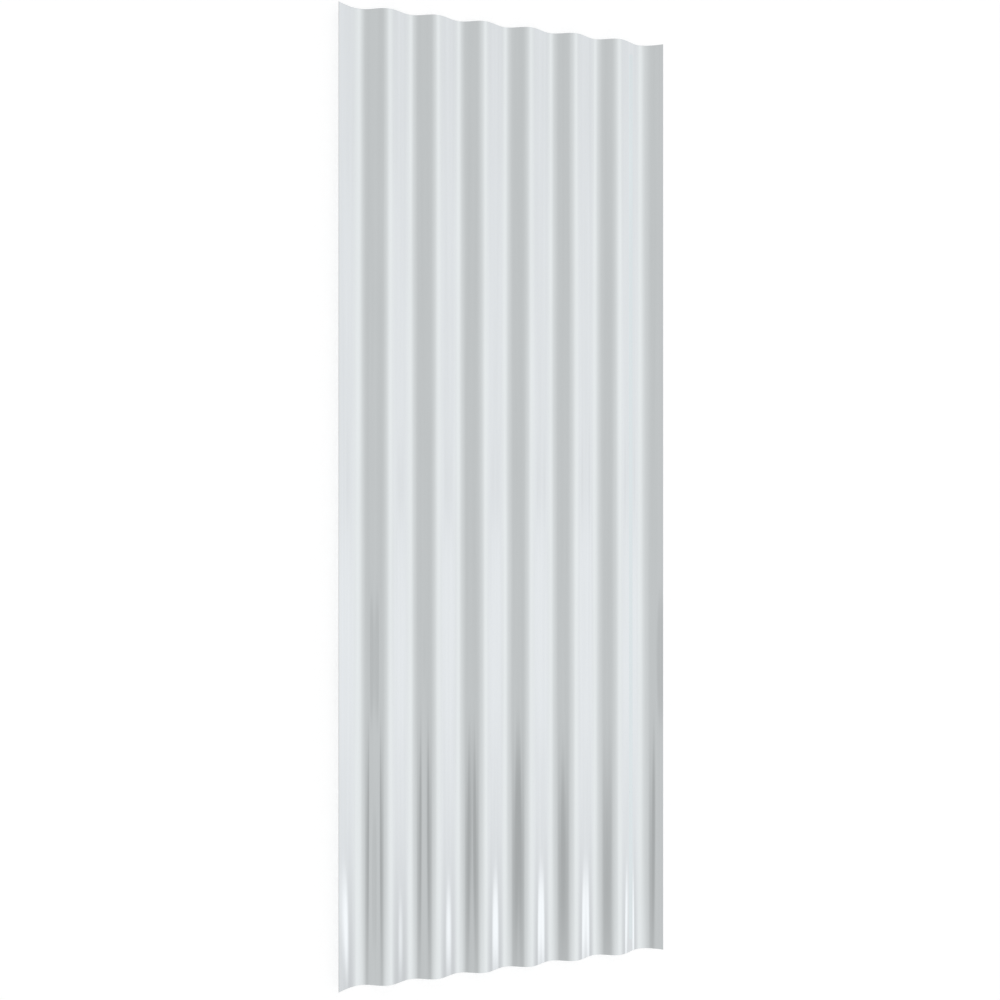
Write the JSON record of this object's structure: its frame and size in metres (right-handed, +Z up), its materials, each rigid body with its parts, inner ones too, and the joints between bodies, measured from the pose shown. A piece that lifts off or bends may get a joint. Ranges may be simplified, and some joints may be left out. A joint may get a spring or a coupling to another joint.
{
  "type": "corrugated metal sheet",
  "caption": "Rectangular sheet of thin bright steel with shallow rounded waves along its length and plain upturned side lips, for roofing, cladding and fencing.",
  "frame": {"origin": "on the floor under the middle of the sheet, which lies flat on its two side valleys", "axes": "+X across the waves, +Y along the waves, +Z up out of the face that the picture shows"},
  "size_m": [0.3602, 1, 0.0113],
  "materials": {
    "coated_steel": "gloss"
  },
  "bodies": {
    "root": {"corrugated_sheet": "coated_steel"}
  },
  "joints": []
}
